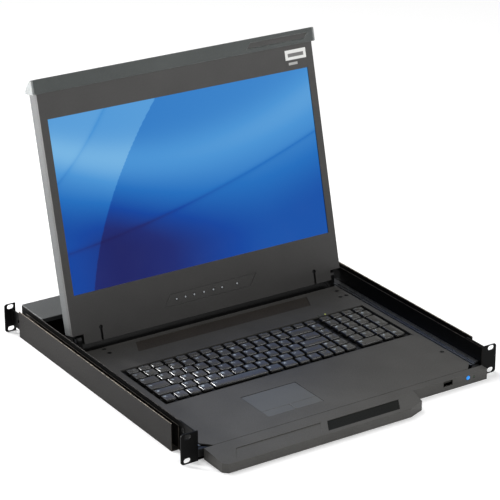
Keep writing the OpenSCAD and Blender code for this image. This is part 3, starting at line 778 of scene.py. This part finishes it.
# %% [markdown]
# ## A label, menu keys and lamps
#
# A small foil label sits beside the grip bar: white above, dark below, with plain bars where print would be. The
# seven menu keys under the screen are low domes with a pale mark in the middle, which glows as painted light, and
# the lamps are domes too. A dome is a surface of two parameters, the turn round its axis and the distance from it:
# its height is a cosine of that distance.

# %% Domes
DOME_TURNS, DOME_RINGS = 24, 9


def dome(centre, right, up, out, radius, height, skirt):
    """Points of a round dome: height times the cosine of the distance from the axis, a quarter
    wave from middle to rim, and a skirt below the rim."""
    turn = np.linspace(0, 2 * math.pi, DOME_TURNS, endpoint=False)
    away = np.append(np.linspace(0.02, 1, DOME_RINGS), 1.0)
    above = height * np.cos(away * math.pi / 2)
    above[-1] = -skirt
    a, b = np.meshgrid(away * radius, turn, indexing="ij")
    flat = (a * np.cos(b))[..., None] * right + (a * np.sin(b))[..., None] * up
    shell = centre + flat + above[:, None, None] * out
    return shell.reshape(-1, 3), np.repeat(away, DOME_TURNS)


def dome_faces(count):
    """Quads of so many domes, and a closing face in the middle and under the skirt of each."""
    quads = grid_faces(DOME_RINGS + 1, DOME_TURNS, True)
    size = (DOME_RINGS + 1) * DOME_TURNS
    faces = []
    for n in range(count):
        faces += (quads + n * size).tolist()
        faces.append((np.arange(DOME_TURNS)[::-1] + n * size).tolist())
        faces.append((np.arange(size - DOME_TURNS, size) + n * size).tolist())
    return faces


def outward(piece):
    """Turns a closed piece's faces so that they all point outwards."""
    shape = bmesh.new()
    shape.from_mesh(piece.data)
    bmesh.ops.recalc_face_normals(shape, faces=shape.faces)
    shape.to_mesh(piece.data)
    shape.free()


RIGHT, BACK, UP = np.eye(3)


def lens_finish(name, body, glow, strength, mark=0.45):
    """Glossy moulded plastic, lit where the attribute lit is above nothing."""
    material, tree, shader = start_material(name, IOR=1.5, Emission_Strength=strength)
    place = add(tree, "TexCoord").outputs["Object"]
    cloud = add(tree, "TexNoise", {"Vector": place, "Scale": 1 / (2 * MM), "Detail": 2})
    tone = add(
        tree, "Mix", {"Factor": cloud.outputs["Fac"], 6: rgb(body[0]), 7: rgb(body[1])},
        data_type="RGBA",
    )
    lit = add(tree, "Attribute", attribute_name="lit").outputs["Fac"]
    edge = add(tree, "MapRange", {"Value": lit, 1: mark - 0.1, 2: mark + 0.1}, clamp=True)
    light = add(
        tree, "Mix", {"Factor": edge.outputs[0], 6: rgb("#000000"), 7: rgb(glow)},
        data_type="RGBA",
    )
    dull = add(
        tree, "MapRange", {"Value": cloud.outputs["Fac"], 1: 0.3, 2: 0.7, 3: 0.16, 4: 0.3}
    )
    tree.links.new(tone.outputs[2], shader.inputs["Base Color"])
    tree.links.new(light.outputs[2], shader.inputs["Emission Color"])
    tree.links.new(dull.outputs[0], shader.inputs["Roughness"])
    return material


# %% Menu keys
KEY_ABOVE_GLASS, KEY_RADIUS, KEY_CROWN, KEY_SKIRT = 1.75 * MM, 2 * MM, 0.25 * MM, 3.6 * MM
domes = []
for low, high in islands("menu_buttons"):
    middle = (low + high) / 2
    tip = on_lid(middle[0], (middle - hinge_place) @ lid_up, glass_high[2] + KEY_ABOVE_GLASS)
    domes.append(dome(tip, RIGHT, lid_up, lid_out, KEY_RADIUS, KEY_CROWN, KEY_SKIRT))
# the pale mark in the middle of each menu key glows as painted light
menu = make_piece(
    "menu_key_domes", np.vstack([d[0] for d in domes]), dome_faces(len(domes)),
    lens_finish("menu key with painted glow", ("#2b2b2b", "#343434"), "#a4a8ac", 0.6, mark=0.34),
    "menu_buttons",
)
outward(menu)
point_values(menu, "lit", [1.0 - away for d in domes for away in d[1]])
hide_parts("menu_buttons")
print(len(domes), "menu keys")

# %% [markdown]
# From left to right there are three lamps in the deck, which point up, and one in the front
# panel, which points forward. Only the third lamp is lit.

# %% Lamps
DECK_LAMPS, LIT_LAMP = 3, 2  # how many are in the deck, and the number of the lit one from 0
lamps = sorted(islands("status_lamps"), key=lambda box: box[0][0])
domes, lights = [], []
for number, (low, high) in enumerate(lamps):
    middle = (low + high) / 2
    radius = (high[0] - low[0]) / 2
    if number < DECK_LAMPS:
        tip, up, out = np.array([middle[0], middle[1], high[2] - 0.35 * MM]), BACK, UP
    else:
        tip, up, out = np.array([middle[0], low[1] + 0.6 * MM, middle[2]]), UP, -BACK
    lens_points, away = dome(tip, RIGHT, up, out, radius, 0.4 * MM, 1.5 * MM)
    domes.append(lens_points)
    lights += [1.0 if number == LIT_LAMP else 0.0] * len(away)
lamp = make_piece(
    "lamp_lenses", np.vstack(domes), dome_faces(len(domes)),
    lens_finish("green lamp lens", ("#1c2c1c", "#24381f"), "#c9d36a", 0.9),
    "drawer",
)
outward(lamp)
point_values(lamp, "lit", lights)
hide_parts("status_lamps")
print(len(domes), "lamps")

# %% [markdown]
# The label stands 0.15 mm proud of the bezel, on a grid fine enough to carry its printed tones
# as an attribute.

# %% Label
def label_finish():
    """Printed foil: the attribute print runs from dark to white, under a satin varnish."""
    material, tree, shader = start_material("printed foil label", IOR=1.5, Coat_Weight=0.2)
    place = add(tree, "TexCoord").outputs["Object"]
    level = add(tree, "Attribute", attribute_name="print").outputs["Fac"]
    cloud = add(tree, "TexNoise", {"Vector": place, "Scale": 1 / (4 * MM), "Detail": 2})
    soiled = add(
        tree, "Mix", {"Factor": cloud.outputs["Fac"], 6: rgb("#f3f3f1"), 7: rgb("#e6e6e3")},
        data_type="RGBA",
    )
    tone = add(
        tree, "Mix", {"Factor": level, 6: rgb("#3c3b3a"), 7: soiled.outputs[2]},
        data_type="RGBA",
    )
    dull = add(
        tree, "MapRange", {"Value": cloud.outputs["Fac"], 1: 0.3, 2: 0.7, 3: 0.3, 4: 0.42}
    )
    tree.links.new(tone.outputs[2], shader.inputs["Base Color"])
    tree.links.new(dull.outputs[0], shader.inputs["Roughness"])
    return material


bezel_high = lid_range(points_of("lid_bezel"))[1]
LABEL_W, LABEL_H = 34 * MM, 24 * MM
LABEL_FROM_SIDE, LABEL_FROM_TOP = 11.5 * MM, 6.5 * MM
LABEL_PROUD, LABEL_SUNK = 0.15 * MM, 0.05 * MM
LABEL_COLUMNS, LABEL_ROWS = 69, 49
a, b = np.meshgrid(np.linspace(0, 1, LABEL_COLUMNS), np.linspace(0, 1, LABEL_ROWS))
label_u = bezel_high[0] - LABEL_FROM_SIDE - (1 - a) * LABEL_W
label_v = bezel_high[1] - LABEL_FROM_TOP - (1 - b) * LABEL_H
label_n = framed(np.full(a.shape, bezel_high[2] + LABEL_PROUD), bezel_high[2] - LABEL_SUNK)
label_points = on_lid(framed(label_u, None), framed(label_v, None), label_n).reshape(-1, 3)


def inside(values, low, high):
    """1 where values lie between low and high, and 0 elsewhere."""
    return ((values > low) & (values < high)).astype(float)


# the white upper part, a dark bar on it, and a paler bar on the dark lower part
printed = inside(b, 0.42, 1.1)
printed = printed - 0.85 * inside(b, 0.6, 0.8) * inside(a, 0.12, 0.88)
printed = printed + 0.5 * inside(b, 0.14, 0.28) * inside(a, 0.12, 0.55)
label = make_piece(
    "bezel_label", label_points, slab_faces(LABEL_ROWS, LABEL_COLUMNS), label_finish(),
    "lid", smooth=False,
)
point_values(label, "print", framed(np.clip(printed, 0, 1), None))
print("label", len(label.data.polygons), "faces")

# %% [markdown]
# ## Boards, metal parts and fittings
#
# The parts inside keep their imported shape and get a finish. A circuit board is green solder
# mask over copper, which shows as paler lanes, and its parts are the same moulded block in one
# piece with it, so the board's finish stays dark. Plated steel covers the slides and pins.

# %% Circuit boards
def board_finish():
    """Solder mask: green, paler along right-angled copper lanes, with a low gloss."""
    material, tree, shader = start_material("solder mask", IOR=1.55)
    place = add(tree, "TexCoord").outputs["Object"]
    lanes = add(
        tree, "TexBrick",
        {"Vector": place, "Scale": 1 / (12 * MM), "Mortar Size": 0.06, 1: rgb("#0d3a1e"),
         2: rgb("#0f4423"), 3: rgb("#1d6b3a")},
    )
    cloud = add(tree, "TexNoise", {"Vector": place, "Scale": 1 / (3 * MM), "Detail": 3})
    dull = add(
        tree, "MapRange", {"Value": cloud.outputs["Fac"], 1: 0.3, 2: 0.7, 3: 0.25, 4: 0.45}
    )
    relief = add(
        tree, "Bump", {"Height": lanes.outputs["Fac"], "Strength": 0.4, "Distance": 0.05 * MM}
    )
    tree.links.new(lanes.outputs["Color"], shader.inputs["Base Color"])
    tree.links.new(dull.outputs[0], shader.inputs["Roughness"])
    tree.links.new(relief.outputs[0], shader.inputs["Normal"])
    return material


# a darkened copy of the nickel plate, for painted shade
shaded_nickel = grained(
    "nickel plate darkened as painted shade", "#3a3936", "#2f2e2c", "#8c8a84", 0.34, 2 * MM, 0.01 * MM, Metallic=1.0
)
nickel = grained(
    "nickel plate", "#b8b2a4", "#a8a296", "#d8d4ca", 0.26, 2 * MM, 0.01 * MM, Metallic=1.0
)
panel_steel = grained(
    "display module frame", "#b4b6b8", "#a6a8aa", "#d0d0d0", 0.42, 2 * MM, 0.02 * MM
)
solder_mask = board_finish()


def finish_node(node, material):
    """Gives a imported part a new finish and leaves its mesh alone."""
    data = frame["nodes"][node].data
    data.materials.clear()
    data.materials.append(material)


for node in ("switch_board", "console_board", "touchpad_board", "display_board"):
    finish_node(node, solder_mask)
for node in both("slide_outer") + both("slide_middle") + both("slide_inner"):
    finish_node(node, zinc)
finish_node("power_supply", zinc)
finish_node("hinge_pins", zinc)
finish_node("lcd_panel", panel_steel)
soften_all(["ear_screws", "deck_screws"], 0.15 * MM, black_zinc)
# the USB socket's nickel shell is darkened as painted shade
soften_all(["usb_socket"], 0.12 * MM, shaded_nickel)
soften_all(["port_jack_screws"], 0.2 * MM, nickel)
soften_all(["power_inlet"], 0.3 * MM, black_abs)

# %% [markdown]
# The power button is a small cap of clear blue plastic lit from behind.

# %% Power button
BUTTON_RADIUS, BUTTON_CROWN, BUTTON_SKIRT = 2.8 * MM, 0.8 * MM, 1.1 * MM
CAP_ABOVE_MIDDLE = 0.4 * MM  # from the middle of the part's box
low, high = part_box("power_button")
centre = np.array([(low[0] + high[0]) / 2, low[1] + BUTTON_CROWN, 0])
centre[2] = (low[2] + high[2]) / 2 + CAP_ABOVE_MIDDLE
cap, away = dome(centre, RIGHT, UP, -BACK, BUTTON_RADIUS, BUTTON_CROWN, BUTTON_SKIRT)
button = make_piece(
    "power_button_cap", cap, dome_faces(1),
    lens_finish("lit blue button", ("#1464b8", "#1a74cc"), "#2a9bf0", 0.55, mark=0.0),
    "power_button",
)
outward(button)
point_values(button, "lit", 1.0 - away * 0.6)
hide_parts("power_button")
print("power button", len(button.data.polygons), "faces")

# %% [markdown]
# ## Computer ports
#
# Each port on the back is a plated shell shaped like a flat D around a blue insert with three
# rows of five contacts. The outline is a trapezium with rounded corners, and the shell is that
# outline carried outwards, over its lip and back in.

# %% Port shells
def d_outline(half_w, half_h, radius, slope=1.2 * MM):
    """A rounded rectangle whose lower half narrows by slope: each point moves inwards in
    proportion to how far it lies below the top."""
    flat = cap_outline(np.array([half_w, half_h]), radius)
    flat[:, 0] -= np.sign(flat[:, 0]) * slope * (half_h - flat[:, 1]) / (2 * half_h)
    return flat


def carried(rings, centre):
    """Points of outlines stacked along Y: each ring is an outline and its place along Y."""
    layers = [
        np.column_stack([flat[:, 0] + centre[0], np.full(len(flat), y), flat[:, 1] + centre[2]])
        for flat, y in rings
    ]
    return np.vstack(layers)


SHELL_REACH = 5.2 * MM  # from the plate to the lip
OUTER = d_outline(8.5 * MM, 4.3 * MM, 1.6 * MM)
INNER = d_outline(8.0 * MM, 3.8 * MM, 1.4 * MM)
CONTACT_ROWS, CONTACT_COLUMNS = range(-1, 2), range(-2, 3)
# steps between contacts and between rows, and how far each row is shifted, in millimetres
CONTACT_STEP, ROW_STEP, ROW_SHIFT = 2.3, 2, 0.6
ports = islands("port_connectors")
shells, inserts, holes = [], [], []
for low, high in ports:
    centre = (low + high) / 2
    wall, lip = high[1] - SHELL_REACH, high[1]
    plate = d_outline((high[0] - low[0]) / 2, (high[2] - low[2]) / 2, 1.2 * MM, 0.0)
    rings = [(plate, wall - 0.7 * MM), (plate, wall - 0.1 * MM), (plate * 0.985, wall)]
    rings += [(OUTER, wall), (OUTER, lip - 0.3 * MM), (OUTER * 0.98, lip), (INNER, lip)]
    rings += [(INNER, lip - 0.8 * MM)]
    shells.append(carried(rings, centre))
    face = lip - 0.6 * MM
    block = INNER * 0.98
    rings = [(block, face - 0.5 * MM), (block, face - 0.1 * MM), (block * 0.98, face)]
    inserts.append(carried(rings, centre))
    for row in CONTACT_ROWS:
        for column in CONTACT_COLUMNS:
            across = centre[0] + (column * CONTACT_STEP - row * ROW_SHIFT) * MM
            spot = np.array([across, face, centre[2] + row * ROW_STEP * MM])
            holes.append(dome(spot, RIGHT, UP, BACK, 0.5 * MM, 0.03 * MM, 0.3 * MM)[0])


def stack_faces(count, rings):
    """Quads of so many closed stacks of outlines, with the last ring closed by one face."""
    quads = grid_faces(rings, AROUND, True)
    first, last = np.arange(AROUND), np.arange((rings - 1) * AROUND, rings * AROUND)
    faces = []
    for n in range(count):
        start = n * rings * AROUND
        faces += (quads + start).tolist()
        faces.append((last + start).tolist())
        faces.append((first[::-1] + start).tolist())
    return faces


blue_insert = grained(
    "blue port insert", "#1c3fa0", "#1a3992", "#3d5fc0", 0.4, GRAIN, 0.03 * MM, IOR=1.5
)
SHELL_RINGS, INSERT_RINGS = 8, 3
shell = make_piece(
    "port_shells", np.vstack(shells), stack_faces(len(ports), SHELL_RINGS), nickel,
    "case",
)
insert = make_piece(
    "port_inserts", np.vstack(inserts), stack_faces(len(ports), INSERT_RINGS), blue_insert,
    "case",
)
contact = make_piece(
    "port_contacts", np.vstack(holes), dome_faces(len(holes)), black_abs,
    "case",
)
for piece in (shell, insert, contact):
    outward(piece)
    piece.data.set_sharp_from_angle(angle=SHADED_SHARP)
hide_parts("port_connectors")
print(len(ports), "ports with", len(holes), "contacts")

# %% [markdown]
# ## Studio
#
# The object stands on a light table: a plain white floor that glows a little from below, as
# catalogue pictures use to lose the shadow. The room round it is dim, so that black coats stay
# black. The main light is a sun with a very wide disc, high behind, which gives the deck its
# sheen, and the screen keeps it off the hinge. Four softboxes fill in: a weak one on the left,
# a small one low behind on the left that glances off the key caps, and two in front that reach
# the screen's face and the front edges.

# %% Floor
FLOOR_SIZE, FLOOR_POINTS = 30.0, 9
steps = np.linspace(-0.5, 0.5, FLOOR_POINTS)
a, b = np.meshgrid(steps, steps)
floor_points = np.stack([a * FLOOR_SIZE, b * FLOOR_SIZE, np.full(a.shape, cad_low[2])], axis=-1)
floor_mesh = bpy.data.meshes.new("floor")
floor_faces = grid_faces(FLOOR_POINTS, FLOOR_POINTS, False).tolist()
floor_mesh.from_pydata(floor_points.reshape(-1, 3).tolist(), [], floor_faces)
floor = bpy.data.objects.new("floor", floor_mesh)
bpy.context.scene.collection.objects.link(floor)
floor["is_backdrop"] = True
floor_paint = start_material(
    "light table", Base_Color=rgb("#f2f2f2"), Roughness=0.9, Emission_Color=rgb("#ffffff"),
    Emission_Strength=0.22,
)[0]
floor_mesh.materials.append(floor_paint)
print("floor at", round(float(cad_low[2]), 4))


# %% Lights
def softbox(name, place, aim, size, power, colour="#ffffff"):
    """A rectangular area light at a place in metres, turned to a point."""
    lamp = bpy.data.lights.new(name, "AREA")
    lamp.shape = "RECTANGLE"
    lamp.size, lamp.size_y = size
    lamp.energy = power
    lamp.color = rgb(colour)[:3]
    holder = bpy.data.objects.new(name, lamp)
    holder.location = place
    holder.rotation_mode = "QUATERNION"
    holder.rotation_quaternion = (Vector(aim) - Vector(place)).to_track_quat("-Z", "Y")
    bpy.context.scene.collection.objects.link(holder)


world = bpy.data.worlds.new("dim room")
world.use_nodes = True
background = world.node_tree.nodes["Background"].inputs
background["Color"].default_value = rgb("#ffffff")
background["Strength"].default_value = 0.12
bpy.context.scene.world = world
bpy.context.scene.view_settings.view_transform = "Standard"
sun = bpy.data.lights.new("high back light", "SUN")
sun.energy = 2.1
sun.angle = math.radians(50)
holder = bpy.data.objects.new("high back light", sun)
holder.rotation_mode = "QUATERNION"
holder.rotation_quaternion = Vector((0.06, -0.6, -0.8)).to_track_quat("-Z", "Y")
bpy.context.scene.collection.objects.link(holder)
softbox("left softbox", (-1.9, 0.3, 0.9), (0, 0.2, 0.05), (1.2, 0.9), 2)
softbox("low back softbox", (-1.15, 1.45, 0.42), (-0.12, 0.15, 0), (0.24, 0.2), 30)
softbox("right front softbox", (0.95, -1.05, 0.85), (0, 0.35, 0.3), (0.7, 0.4), 5.5)
softbox("front softbox", (0.1, -1.1, 2.3), (0, 0.4, 0.3), (1.2, 0.8), 26)
print(len(bpy.data.lights), "lights")

# %% [markdown]
# ## Camera
#
# A long lens, well back, as for a catalogue picture: the verticals of the screen stay almost
# parallel. The direction is an azimuth from the front, turned to the left, and a height above
# the horizon.

# %% Camera
AZIMUTH, ELEVATION = math.radians(-33.05), math.radians(22.46)
CAMERA_PLACE = (-1.4525, -2.0131, 1.2312)
SENSOR_WIDTH, FOCAL_LENGTH = 36, 158.6  # millimetres
back = Vector(
    (
        math.sin(AZIMUTH) * math.cos(ELEVATION),
        -math.cos(AZIMUTH) * math.cos(ELEVATION),
        math.sin(ELEVATION),
    )
)
lens = bpy.data.cameras.new("camera")
lens.sensor_width = SENSOR_WIDTH
lens.lens = FOCAL_LENGTH
lens.clip_end = 100
camera = bpy.data.objects.new("camera", lens)
camera.location = CAMERA_PLACE
camera.rotation_mode = "QUATERNION"
camera.rotation_quaternion = (-back).to_track_quat("-Z", "Y")
bpy.context.scene.collection.objects.link(camera)
bpy.context.scene.camera = camera

# %% Sizes, and the end
low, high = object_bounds()
for axis in range(3):
    packed = f"CAD {cad_low[axis]:.4f} to {cad_high[axis]:.4f}"
    print("XYZ"[axis], f"{packed}, visual {low[axis]:.4f} to {high[axis]:.4f}")
